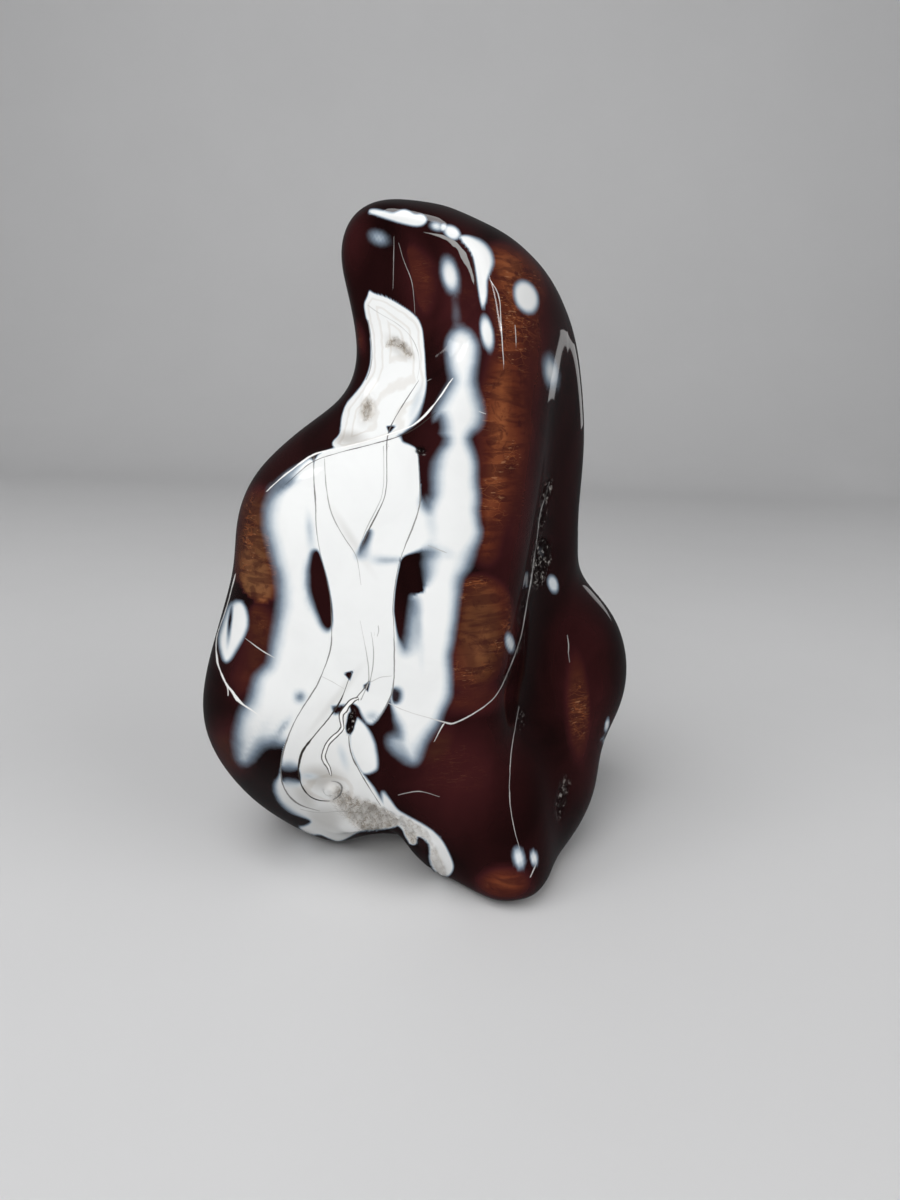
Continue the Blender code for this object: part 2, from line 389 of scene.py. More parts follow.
# White chalcedony: the bands, the patch on the head, the hook, the strip and the beads.
WHITE = (
    Patch("head_patch", (
        (369, 290, 1), (374, 294), (382, 296), (390, 299), (405, 308), (412, 313), (418, 319),
        (421, 325), (423, 333), (426, 375), (427, 385), (423, 405, 2), (414, 425, 3),
        (402, 434, 1.5), (387, 440, 1), (358, 447), (341, 452), (330, 444), (341, 434), (341, 420),
        (345, 405), (352, 397), (360, 388), (366, 378), (369, 370), (371, 360), (371, 340),
        (365, 312), (364, 303), (368, 296))),
    Patch("left_band", (
        (278, 487, 5), (275, 492, 6), (270, 510), (270, 525), (274, 545), (283, 575), (285, 600),
        (279, 632), (272, 665, 5), (268, 670), (262, 674), (258, 682, 6), (255, 700), (246, 713),
        (243, 720), (239, 740), (240, 757, 5), (243, 761), (247, 760), (258, 747), (263, 743),
        (272, 741), (286, 742, 4), (289, 736, 1), (306, 705), (320, 684), (332, 652), (334, 625),
        (333, 600), (318, 530), (315, 485), (314, 456), (300, 465, 3))),
    Patch("middle_band", (
        (313, 455, 1), (340, 446), (370, 440), (388, 434), (400, 436, 2), (408, 444, 1.5),
        (417, 448, 1), *drawn(RIGHT_SEAM, 1), (380, 718, 2), (376, 722), (371, 725), (365, 722),
        (361, 715), (359, 706, 1.5), (350, 702, 1), (343, 712), (336, 722), (326, 730), (316, 745),
        (309, 757), (300, 774, 3), (281, 774), *drawn(LEFT_SEAM[::-1], 1))),
    Patch("right_band", (
        (452, 335, 4), (462, 330), (472, 337), (476, 351), (470, 380, 5), (472, 390), (479, 410),
        (479, 418), (476, 425), (470, 430, 4), (466, 437), (466, 442), (472, 455), (474, 465),
        (473, 480), (476, 500), (474, 508), (476, 525), (479, 532), (470, 550, 5), (469, 560),
        (459, 574), (456, 580), (454, 610, 4), (450, 640), (446, 658), (449, 690), (446, 700),
        (442, 706), (436, 722), (421, 741, 5), (417, 756), (413, 761), (402, 754), (393, 746),
        (391, 742), (392, 738), (397, 734), (401, 728), (394, 712, 3), (390, 698, 2), (392, 680, 1),
        (392, 640), (391, 600), (394, 580), (400, 556), (409, 532), (418, 503, 2), (424, 500, 5),
        (433, 500, 6), (437, 490), (438, 465), (441, 455, 5), (452, 442, 4), (450, 437),
        (441, 425, 5), (439, 418), (440, 410), (452, 390), (457, 380), (452, 368, 4.5),
        (449, 352, 4))),
    Patch("hook", (
        (281, 766, 2), (300, 764), (300, 758, 1), (309, 744), (322, 727), (336, 712), (346, 700),
        (352, 712), (350, 735), (352, 754), (361, 772), (372, 785, 2), (381, 800), (388, 808),
        (398, 815, 1.5), (400, 826), (384, 829), (370, 831), (359, 831), (346, 839, 1), (338, 842),
        (328, 838), (320, 834), (312, 835, 2), (305, 833), (301, 830), (299, 826), (306, 819, 3),
        (300, 816), (294, 813), (282, 804), (275, 790), (276, 783), (280, 775, 2))),
    Patch("petal", (
        (355, 717, 2), (352, 725), (350, 735), (350, 745), (352, 754), (361, 772), (365, 774),
        (372, 772, 2.5), (378, 768), (375, 745), (371, 735), (366, 726, 2), (360, 719))),
    Patch("foot_strip", (
        (381, 790, 3), (388, 797, 2), (397, 810, 1.5), (404, 814), (424, 825), (433, 831),
        (441, 839), (446, 847), (453, 863), (453, 870), (449, 876), (443, 877), (438, 874),
        (433, 869), (430, 862), (429, 855), (430, 849), (428, 843), (425, 840), (417, 835),
        (417, 844, 1), (412, 845), (408, 841), (405, 836), (402, 828), (392, 822), (384, 812))),
    Patch("left_eye", (
        (236, 602, 3), (241, 602, 2.5), (245, 607), (248, 620), (246, 632), (232, 658), (227, 662),
        (223, 660), (219, 642), (221, 630, 3), (230, 606))),
    Spot("right_teardrop", 526, 297, 15.5, 10.5, 70, 3.2),
    Patch("head_strip", (
        (369, 209.5, 1.4), (376, 209, 1.8), (392, 213.5), (397, 212), (402, 210), (407, 210),
        (415, 215), (420, 214), (425, 216), (427, 221), (422, 225.5), (414, 226), (400, 223),
        (376, 215), (369, 213, 1.4))),
    Spot("head_bead_2", 443.5, 227.5, 3.4, 3, 25, 1.8, 0.8),
    Spot("head_bead_3", 452, 232.5, 8, 5.6, 35, 2.2),
    Patch("head_blob", (
        (458, 237, 2), (466, 235.5), (474, 238, 2.5), (482, 242, 2.8), (488, 248), (492, 256),
        (492.5, 266), (486, 280, 2), (487, 290), (486, 300), (483, 309), (480, 301, 1.6),
        (475, 262, 1.2), (471, 251), (464, 243, 1.4))),
    Spot("head_teardrop", 487, 333, 15.5, 5.5, 80, 2.4),
    Spot("right_dot_1", 553, 584, 7, 4, 75, 2.5, 0.4),
    Spot("right_dot_2", 510, 643, 7.5, 3.5, 78, 2.5, 0.4),
    Spot("right_dot_3", 519, 858, 9, 4.5, 78, 3, 0.5),
    Spot("right_dot_4", 534, 858, 6.5, 3.2, 80, 2, 0.8),
    Spot("lobe_mark_1", 607, 725, 5.5, 1.8, 100, 1.2, 0.8),
    Spot("lobe_mark_2", 607, 739, 6, 1.8, -20, 1.2, 0.5),
)

# Where the dark body shows through the white.
DARK = (
    Patch("left_slit", (
        (312, 552, 3), (318, 549, 2), (322, 560, 1), (328, 580), (332, 602), (333, 613),
        (333, 626, 2), (328, 633, 3), (320, 627), (310, 598, 2.9), (308, 582), (308, 566, 3))),
    Patch("middle_window", (
        (403, 557, 1), (410, 553, 2), (425, 549, 3), (429, 554, 6), (431, 574), (425, 589, 2),
        (423, 592, 1), (417, 594), (412, 597, 3), (416, 601, 5), (413, 618), (410, 646), (405, 653),
        (400, 647, 4), (397, 637, 2), (395, 622, 1), (393.5, 610), (395, 588), (399, 567))),
    Patch("upper_wedge", (
        (420, 452, 2), (424, 449, 4), (437, 448, 5), (440, 455, 6), (431, 497), (426, 506),
        (420.5, 500, 3), (420, 485, 1), (419, 468))),
    # Painted shade below the crest, over the dark body that shows between the head patch and the
    # right band.
    Patch("crest_shade", (
        (404, 432, 2), (430, 418, 4), (442, 410, 5), (447, 420), (448, 432), (440, 446),
        (428, 452, 4), (419, 450, 1), (410, 445, 1.5), (400, 441, 2))),
    Patch("hook_bar", (
        (281, 766, 1), (284, 766, 4), (296, 767), (299, 767, 1), (301, 782), (298, 783, 4),
        (286, 782), (282, 782, 1), (280, 774)), 1.6),
    Patch("bar_under_fork", (
        (368, 529, 1), (373, 530, 3), (370, 541), (364, 552, 4), (357, 557), (359, 547, 2),
        (364, 537, 1)), 1.0),
    Patch("hook_wedge", ((331, 706, 2), (346, 704), (344, 713), (334, 715)), 1.2),
    Patch("chain_hole", (
        (348, 712, 1), (356, 710), (358, 716), (355, 724), (353, 733), (347, 735), (345, 727),
        (347, 721))),
    Patch("inner_triangle", ((343, 673, 1), (354, 670), (350, 681)), 2.0),
    Patch("fork_triangle", ((362, 686, 1), (371, 680), (368, 692)), 2.0),
    Patch("low_tongue", (
        (279, 806, 2), (290, 812), (300, 816), (313, 820), (309, 825), (297, 828), (286, 820))),
    Patch("brown_notch", (
        (391, 688, 1.5), (397, 687, 3), (403, 691), (401, 703), (392, 705, 1.5)), 0.9),
    Spot("crest_hole", 421, 451, 3.5, 5, 90, 1.2),
    Spot("eye_slit", 230, 620, 17, 2.2, 96, 1.6),
    Patch("patch_edge_sliver", (
        (362, 313, 1.5), (367, 318, 1), (370, 328), (371, 340), (364, 342, 2), (359, 330)), 5.0),
    Patch("patch_triangle", ((386, 426, 1), (397, 425), (389, 434)), 1.5),
)

# Faint white under the surface.
MISTS = (
    Spot("head_left_blur", 379, 238, 12, 8, 25, 1, share=1.35),
    Spot("head_blur", 450, 275, 17, 8, 78, 1, share=2.5),
    Spot("head_low_blur", 456, 312, 22, 7, 85, 1, share=0.7),
    Spot("head_bead_1", 436.5, 226.5, 7, 4.5, 20, 1, share=1.9),
    Spot("right_grey", 551, 372, 18, 8, 82, 1, share=1.8),
    Spot("right_dot_5", 541, 552, 6, 3, 70, 1, share=1.6),
)

# Where the white thins out to blue-grey.
VEILS = (
    Spot("low_left_blur", 300, 697, 8, 8, 0, 1, share=1.6),
    Spot("low_left_bar", 284, 726, 14, 5.5, -52, 1, share=1.25),
    Spot("left_low", 262, 730, 26, 9, -52, 1, share=0.6),
    Spot("slit_mist", 310, 532, 26, 6, 84, 1, share=1.1),
    Spot("slit_halo", 305, 588, 34, 6, 84, 1, share=0.7),
    Spot("left_top", 290, 484, 17, 6, -30, 1, share=1.0),
    Spot("fork_mist", 378, 560, 14, 7, 5, 1, share=0.9),
    Spot("fork_mist_right", 395, 560, 13, 5, 0, 1, share=1.0),
    Spot("right_veil", 431, 522, 26, 9, 82, 1, share=0.9),
    Spot("right_mid", 445, 553, 18, 8, 10, 1, share=0.75),
    Spot("right_low", 421, 640, 40, 6, 88, 1, share=0.7),
    Spot("right_foot", 402, 740, 14, 8, 60, 1, share=0.7),
    Spot("hook_bar_top", 290, 761, 11, 6, 0, 1, share=0.3),
    Spot("hook_bar_tail", 309, 776, 13, 5, 4, 1, share=1.0),
    Spot("low_pool", 343, 757, 18, 6, 72, 1, share=0.95),
    Spot("patch_right", 416, 402, 28, 6, 108, 1, share=0.85),
    Spot("lobe_foot", 372, 716, 11, 7, 0, 1, share=1.1),
    Spot("eye_low", 232, 645, 12, 7, 100, 1, share=0.4),
)

# Where the body glows brown and orange.
EMBER = (
    Patch("left_brown", (
        (246, 500, 12), (262, 492, 8), (271, 500, 7), (271, 530), (276, 560), (276, 590),
        (269, 602, 1.5), (257, 601), (248, 595), (241, 585, 2), (238, 570, 6), (240, 540, 8)),
        share=0.95),
    Patch("left_low_brown", (
        (250, 604, 2), (265, 606, 6), (276, 625), (272, 650, 8), (262, 680, 10), (240, 700),
        (232, 680), (244, 650, 8)), share=0.42),
    Patch("left_bulge", ((212, 735, 12), (232, 728), (240, 765), (226, 775)), share=0.4),
    Patch("right_column", (
        (488, 262, 14), (505, 258), (528, 262, 16), (535, 290, 18), (530, 330), (522, 430, 16),
        (516, 470), (508, 500), (496, 520), (488, 560, 14), (482, 545, 10), (482, 450, 8),
        (484, 400), (492, 370, 10), (504, 340, 12), (496, 300)), share=0.84),
    Patch("right_oval", (
        (458, 590, 6), (468, 580, 5), (482, 577), (495, 581), (506, 592, 6), (510, 612, 8),
        (508, 640), (500, 664), (488, 682), (470, 690), (456, 686), (452, 670, 6), (456, 610)),
        share=0.8),
    Patch("head_facet", (
        (404, 246, 1), (416, 243, 4), (440, 262, 8), (438, 300), (426, 320, 6), (416, 302, 1),
        (412, 278)), share=0.27),
    Spot("column_heart", 501, 424, 38, 10, 92, 10, share=1.05),
    Spot("oval_heart", 482, 645, 34, 13, 100, 12, share=1.05),
    Spot("head_brown", 420, 280, 42, 20, 85, 18, share=0.16),
    Spot("head_wine", 462, 300, 60, 24, 85, 22, share=0.2),
    Spot("neck_wine", 440, 470, 60, 30, 85, 22, share=0.08),
    Spot("flank_wine", 520, 470, 120, 16, 96, 14, share=0.2),
    Spot("lobe_wine", 590, 690, 90, 26, 85, 20, share=0.12),
    Spot("head_top_brown", 508, 268, 22, 16, 40, 12, share=0.85),
    Spot("low_body", 450, 765, 60, 45, 20, 40, share=0.2),
    Spot("low_fan", 436, 748, 25, 14, -50, 14, share=0.35),
    Spot("under_oval", 472, 700, 28, 12, -12, 12, share=0.42),
    Spot("lobe_glow", 578, 705, 40, 9, 88, 10, share=0.55),
    Spot("tip_glow", 504, 884, 22, 13, 0, 9, share=0.6),
    Spot("neck_red", 359, 338, 13, 5, 78, 5, share=0.3),
    Spot("head_left_glow", 352, 238, 14, 26, 0, 12, share=0.1),
    Spot("oval_low_glow", 455, 780, 30, 20, 20, 18, share=0.18),
)

# Where that glow leans to olive.
OLIVE = (
    Patch("left_olive", ((236, 490, 8), (272, 490), (276, 600, 6), (236, 600)), share=0.9),
    Spot("left_low_olive", 250, 640, 34, 26, 80, 14, share=0.6),
    Spot("left_bulge_olive", 218, 730, 50, 16, 80, 10, share=0.8),
    Spot("oval_olive", 480, 640, 56, 24, 88, 12, share=0.7),
    Spot("low_olive", 450, 765, 70, 50, 20, 20, share=0.9),
    Spot("lobe_olive", 578, 705, 44, 16, 88, 10, share=0.6),
)

# Grey and brown darkening in the white. On the hook, round the button, at the hook's lower lip and
# in the arch's recess it is painted shade, and on the hook it is partly the hook's greyer white
# too.
SHADE = (
    # Painted shade round the raised button.
    Spot("button_shade", 322, 778, 20, 11, 10, 9, share=0.75),
    # Painted shade over the hook, which faces down, partly its greyer white.
    Patch("hook_grey", (
        (285, 752, 8), (302, 716), (330, 686), (345, 696), (350, 735), (354, 754), (374, 785),
        (385, 803), (345, 845, 6), (312, 840), (286, 812, 8), (274, 785)), share=0.1),
    # Painted shade in the hook's lower crook.
    Spot("hook_crook", 305, 796, 14, 7, 50, 6, share=0.5),
    # Painted shade at the hook's lower lip.
    Patch("lip_shade", (
        (306, 812, 5), (322, 808), (336, 806), (344, 822), (330, 834), (312, 826)), share=0.5),
    # Painted shade in the arch's recess.
    Patch("arch_shade", (
        (372, 806, 3), (392, 818), (402, 826), (390, 832), (366, 832), (352, 826)), share=0.15),
    Spot("inner_hook_shade", 330, 706, 34, 3.5, -52, 4, share=0.35),
    Spot("fork_shade", 352, 540, 26, 3.5, 58, 4, share=0.3),
    Spot("patch_crystal_shade", 400, 348, 16, 7, 40, 4, share=0.5),
    Spot("patch_low_shade", 366, 410, 14, 6, 100, 5, share=0.45),
    Spot("patch_foot_shade", 348, 438, 14, 6, 0, 5, share=0.75),
    Spot("druse_brown", 372, 808, 5, 4, 20, 3, share=0.9),
    Spot("strip_edge", 440, 868, 14, 5, 60, 4, share=0.35),
)

# Cream crystal crust.
CREAM = (
    Patch("patch_crystals", (
        (390, 338, 2), (400, 338), (408, 345), (412, 352), (413, 361), (402, 352), (394, 345),
        (384, 348))),
    Patch("patch_low_crystals", ((362, 402, 3), (372, 398), (374, 412), (368, 422), (360, 418))),
    Patch("arch_druse", (
        (334, 786, 3), (345, 789), (356, 799), (366, 800), (378, 805, 2), (390, 812), (399, 818),
        (401, 826), (390, 828), (376, 833), (364, 832), (356, 827, 3), (338, 808, 4), (332, 798))),
    Patch("tooth", ((404, 828, 1.5), (418, 834), (418, 846), (408, 844))),
    Patch("strip_grains", (
        (399, 814, 2), (414, 822), (428, 832), (432, 842), (424, 842), (412, 834), (400, 826)),
        share=0.6),
    Patch("strip_rag", (
        (427, 840, 2), (435, 845), (440, 857), (447, 872), (442, 882), (430, 874), (425, 856)),
        share=0.5),
)

# Chips and holes. The light specks that the finish puts in them are painted glints.
PITS = (
    Patch("flank_chips", (
        (537, 540, 2.5), (545, 536), (552, 548), (549, 566), (543, 582), (535, 590), (532, 572),
        (534, 556)), share=0.9),
    Spot("flank_chip_high", 547, 492, 12, 3.5, 105, 2.5, share=0.8),
    Spot("flank_chip_mid", 542, 518, 14, 3, 100, 2.5, share=0.6),
    Spot("flank_chip_low", 524, 606, 14, 2.5, 110, 2.5, share=0.5),
    Spot("crack_chip_high", 516, 650, 11, 2, 113, 1.6, share=0.6),
    Spot("crack_chip_low", 507, 676, 8, 1.6, 116, 1.4, share=0.5),
    Spot("lobe_chip", 563, 798, 17, 5, 100, 3, share=0.8),
    Spot("side_chip", 520, 718, 10, 3, 95, 2.5, share=0.5),
    Spot("crest_hole", 421, 451, 3.5, 5, 90, 1.5),
    Spot("chain_hole", 351, 723, 11, 3.5, 100, 1.5),
)

# Thin dark and light lines, in groups whose lines lie well apart. Some are painted highlights and
# reflections, marked where they stand.
VEINS = (
    (
        Trail("left_line", (
            (314, 457, 0.5), (313.5, 470, 0.8), *drawn(LEFT_SEAM, (
                1.2, 0.9, 0.7, 0.4, 0.3, 0.3, 0.4, 0.8, 0.8, 0.8, 0.8, 0.8, 0.8, 0.9, 1.0, 1.0)),
            (280.5, 766), (281, 775), (282, 783), (285, 790), (289, 796), (294, 801), (300, 805),
            (308, 808, 0.9), (320, 811, 0.4)), 0.2),
        Trail("right_line", (
            (417.5, 448, 0.6), *drawn(RIGHT_SEAM, (
                0.7, 0.6, 0.8, 0.9, 0.9, 0.6, 0.5, 0.5, 0.5, 0.6, 0.9, 0.9, 0.9)),
            (383, 712, 0.6), (376, 722, 0.3)), 0.25),
        Trail("growth_line", (
            (368, 305, 0.4), (375, 311, 0.5), (395, 322), (405, 330), (412, 338), (418, 350),
            (420, 365, 0.4), (417, 380, 0.2)), 0.55),
        Trail("left_crack_link", ((245, 638, 0.2), (262, 651, 0.8), (275, 658, 0.3)), 0.7),
    ),
    (
        Trail("second_line", (
            (324.5, 458, 0.3), (325, 475, 0.6), (326.5, 490, 0.7), (329, 505), (333, 518),
            (343, 536), (355, 553, 0.5), (358, 562, 0.3), (361, 585, 0.1)), 0.35),
        Trail("inner_hook", (
            (351, 673, 0.6), (345, 690, 0.8), (340, 702, 1.1), (333, 713, 1.2), (320, 729),
            (309, 742, 1.5), (303, 750, 1.6), (300, 758, 1.7), (298, 768), (299, 776, 1.6),
            (301, 784, 1.3), (304, 790, 1.1), (308, 795, 0.9), (314, 799, 0.8), (322, 801, 0.7),
            (330, 801, 0.4)), 0.0),
        Trail("button_ring", (
            (331, 781, 0.4), (338, 782, 1.0), (342, 786, 1.2), (342, 792), (338, 797, 1.0),
            (333, 799.5, 0.6)), 0.25),
        Trail("patch_line", (
            (419, 380, 0.3), (400, 409, 0.8), (390, 427, 0.7), (387, 438, 0.6), (386.5, 450, 0.9),
            (387, 480), (386, 490), (384, 500), (375, 518), (368, 531), (362, 546, 0.3)), 0.1),
    ),
    (
        Trail("double_line", (
            (383.5, 446, 0.5), (384, 480, 0.6), (383, 490), (381, 500), (368, 525),
            (361, 541, 0.2)),
            0.45),
        Trail("chain_crack", drawn(CHAIN, (
            2.2, 2.6, 3.8, 3.0, 4.4, 3.2, 4.2, 3.0, 3.6, 2.8, 3.2, 2.8, 3.3, 2.9, 3.4, 2.6, 1.4))),
        Trail("faint_middle", (
            (360, 620, 0.1), (367, 655, 0.4), (369, 672, 0.6), (369, 682, 0.8), (361, 700, 0.7)),
            0.4),
        # A light line along the left edge, beside the eye.
        Trail("eye_rim", ((236, 572, 0.3), (234, 580, 0.9), (226, 610, 0.7), (218, 632, 0.6)), 0.9),
        # A dark line under the crest: the painted dark band of the crest's reflected highlight.
        Trail("crest_under", (
            (284, 486, 0.2), (296, 475, 0.5), (312, 461), (340, 452), (370, 445, 0.6),
            (400, 436.5, 0.7), (420, 426, 0.6), (436, 412, 0.3)), 0.0),
    ),
    (
        Trail("left_crack", (
            (219, 628, 0.6), (216, 640, 1.2), (216, 650), (217, 660, 1.3), (219, 668, 1.2),
            (225, 682, 1.3), (229, 688), (233, 692, 1.6), (236, 698, 2.4), (240, 702, 1.6),
            (246, 707, 1.0), (252, 710, 1.1), (261, 717, 0.6)), 0.95),
        Trail("right_crack", (
            (388, 703, 0.4), (403, 710, 0.6), (415, 714, 0.7), (440, 721, 0.8), (447, 723, 1.2),
            (453, 724, 1.1), (470, 716, 0.6), (490, 703), (500, 690, 0.35), (507, 675, 0.5),
            (520, 642, 0.6), (524, 622, 0.4), (527, 602, 0.8), (531, 582, 0.7), (534, 560, 0.9),
            (537, 540, 0.4), (540, 512, 0.6), (546, 495, 0.5), (550, 480, 0.2)), 0.65),
        Trail("low_right_line", (
            (349, 735, 0.8), (349, 745, 0.9), (352, 757), (357, 767), (368, 786, 0.7),
            (381, 806, 0.3)), 0.1),
        Trail("facet_left", ((394, 235, 0.1), (393.5, 262, 0.35), (393, 290, 0.1)), 0.45),
        Trail("head_inner", (
            (455, 240, 0.1), (465, 245, 0.5), (470, 253), (473, 265), (477, 292, 0.2)), 0.0),
        # A light streak down the head's right side: a painted reflection.
        Trail("head_streak", (
            (490, 280, 0.4), (497, 290, 0.8), (500, 300), (501, 325, 0.7), (504, 369, 0.2)), 0.85),
    ),
    (
        Trail("chain_core", drawn(CHAIN, (
            0.8, 1.2, 2.2, 1.4, 2.6, 1.5, 2.4, 1.3, 2.0, 1.2, 1.8, 1.3, 1.9, 1.5, 2.0, 1.2, 0.6)),
            1.1),
        Trail("streak_branch", ((445, 722, 0.8), (441, 728, 0.9), (434, 742, 0.4)), 0.75),
        Trail("fork_top", ((371, 632, 0.2), (374, 650, 0.5), (373, 668, 0.6), (370, 682)), 0.35),
        Trail("crack_branch", ((226, 683, 0.5), (228, 689, 0.7), (228, 696, 0.5)), 0.8),
        Trail("facet_right", (
            (398, 241, 0.1), (404, 262, 0.4), (409, 273), (413, 284), (415, 315, 0.1)), 0.4),
        Trail("grey_tear", ((427, 545, 0.3), (437, 549, 0.8), (447, 553, 0.3)), 0.45),
        Trail("tick", ((427, 381, 0.4), (431, 379)), 0.3),
        Trail("short_streak", ((479, 411.5, 0.4), (486, 414, 0.5)), 0.8),
        Trail("squiggle", ((378, 625, 0.5), (379, 631, 0.6), (377, 637, 0.4)), 0.35),
        # A short light streak right of the head: a painted reflection.
        Trail("rim_streak", ((515, 325, 0.3), (516, 336, 0.8), (516, 347, 0.3)), 0.8),
        Trail("arc_low", ((398, 795, 0.2), (415, 791, 0.5), (425, 792, 0.4), (440, 797, 0.2)), 0.5),
        # A thin light line down the lower right flank: a painted highlight along its edge.
        Trail("flank_line", (
            (519, 706, 0.2), (512, 745, 0.4), (510, 765), (509, 800), (515, 834, 0.3),
            (524, 863, 0.1)), 0.6),
        Trail("lobe_crack", (
            (567, 634, 0.2), (569, 645, 0.6), (568, 653, 0.4), (570, 664, 0.2)), 0.45),
        Trail("lobe_streak", ((529, 880, 0.3), (533, 871, 0.9), (537, 862, 0.3)), 0.7),
        Trail("patch_seam", (
            (368, 320, 0.4), (372, 345, 0.6), (372, 360), (370, 371), (366, 380, 0.4)), 0.3),
    ),
    (
        # A light line along the crest: a painted highlight where the crest catches the light,
        # partly the white edge of the band.
        Trail("crest_seam", (
            (266, 492, 0.4), (272, 486, 1.0), (281, 478, 1.3), (303, 461, 1.2), (314, 454, 1.0),
            (327, 450.5, 0.8), (340, 448), (370, 440.5), (400, 430.5, 0.9), (412, 426, 1.0),
            (420, 420, 1.2), (427, 413.5, 1.3), (441, 396, 1.2), (447, 386, 0.9), (453, 378, 0.4)),
            1.2),
        # A grey wedge on the head's upper right: a painted reflection.
        Trail("inner_sheen", (
            (424, 232.5, 0.4), (436, 234.5, 1.2), (447, 238, 3.0), (456, 244, 4.6), (463, 253, 5.2),
            (468, 264, 4.2), (472, 275, 2.4), (474, 285, 0.4)), 0.3),
        Trail("fork_left", ((369, 681, 0.4), (363, 690, 0.8), (356, 698)), 0.1),
        Trail("cross_scratch", ((371, 682, 0.3), (380, 677, 0.5), (392, 676, 0.3)), 0.5),
        Trail("low_scratch", ((321, 676, 0.2), (333, 682, 0.5), (346, 690, 0.3)), 0.6),
        Trail("hook_lip", (
            (300, 809, 0.3), (311, 812, 0.5), (324, 813), (337, 811, 0.4), (348, 812, 0.2)), 0.5),
    ),
)

# Raised edges.
RIDGES = (
    Trail("crest", (
        (268, 490, 0.1), (274, 484, 0.5), (282, 478, 0.9), (300, 464, 1.0), (314, 455), (325, 452),
        (340, 449), (355, 445), (370, 442), (405, 430), (413, 427), (420, 421), (433, 407, 0.9),
        (446, 387, 0.6), (453, 378, 0.3)), 0.42),
    Trail("head_ridge", (
        (362, 215, 0.2), (368, 213, 0.8), (378, 213, 1.0), (403, 217), (424, 221), (440, 226, 0.9),
        (452, 232, 0.8), (474, 244, 0.3)), 0.25),
)

# Where growth lines run round the white.
SHELLS = (
    WHITE[0],
    Spot("hook_shell", 330, 790, 34, 20, 10, 1.6, 10.0),
)

# Where the markings are fine enough to need smaller faces.
FINE = (
    Patch("band_zone", (
        (262, 470, 1), (300, 452), (345, 430), (360, 385), (352, 272), (432, 285), (436, 380),
        (464, 372), (464, 396), (422, 450), (422, 560), (412, 700), (384, 730), (392, 790),
        (460, 850), (458, 882), (430, 880), (395, 835), (330, 850), (270, 800), (276, 740),
        (312, 660), (300, 540), (300, 490))),
    Spot("eye_zone", 232, 655, 64, 20, 85, 1),
    Patch("pit_zone", ((540, 478, 1), (578, 478), (578, 540), (545, 612), (520, 612), (534, 540))),
    Spot("head_zone", 430, 222, 70, 14, 12, 1),
)

# The far side's white bands and eyes, as chains of (across, high, half width) in millimetres.
FAR_CHAINS = (
    (
        (-27, 24, 3.5), (-31, 36, 5.5), (-29, 50, 4.5), (-33, 62, 6.0), (-29, 76, 6.5),
        (-24, 88, 4.2), (-21, 100, 5.2), (-23, 112, 3.0)),
    (
        (-9, 32, 2.6), (-5, 42, 4.6), (-9, 56, 3.6), (-4, 70, 5.0), (-8, 84, 5.6), (-6, 97, 3.6),
        (-2, 110, 4.8), (-6, 124, 3.4), (-10, 137, 4.6), (-7, 147, 2.4)),
    ((15, 60, 2.0), (19, 69, 5.0), (13, 80, 6.2), (17, 93, 5.0), (22, 104, 6.0), (18, 116, 3.2)),
    ((-9, 163, 4.2), (-4, 165, 3.0)),
    ((30, 132, 3.4), (29, 139, 2.6)),
    ((20, 26, 3.2), (27, 23, 2.4)),
    ((-14, 9, 2.2), (-4, 8, 2.6)),
)


class Mark(Enum):
    """The names of the attributes that the stone carries to its finish."""

    MILK = "milk"
    WARMTH = "warmth"
    GRAIN = "grain"
    VEIN = "vein"


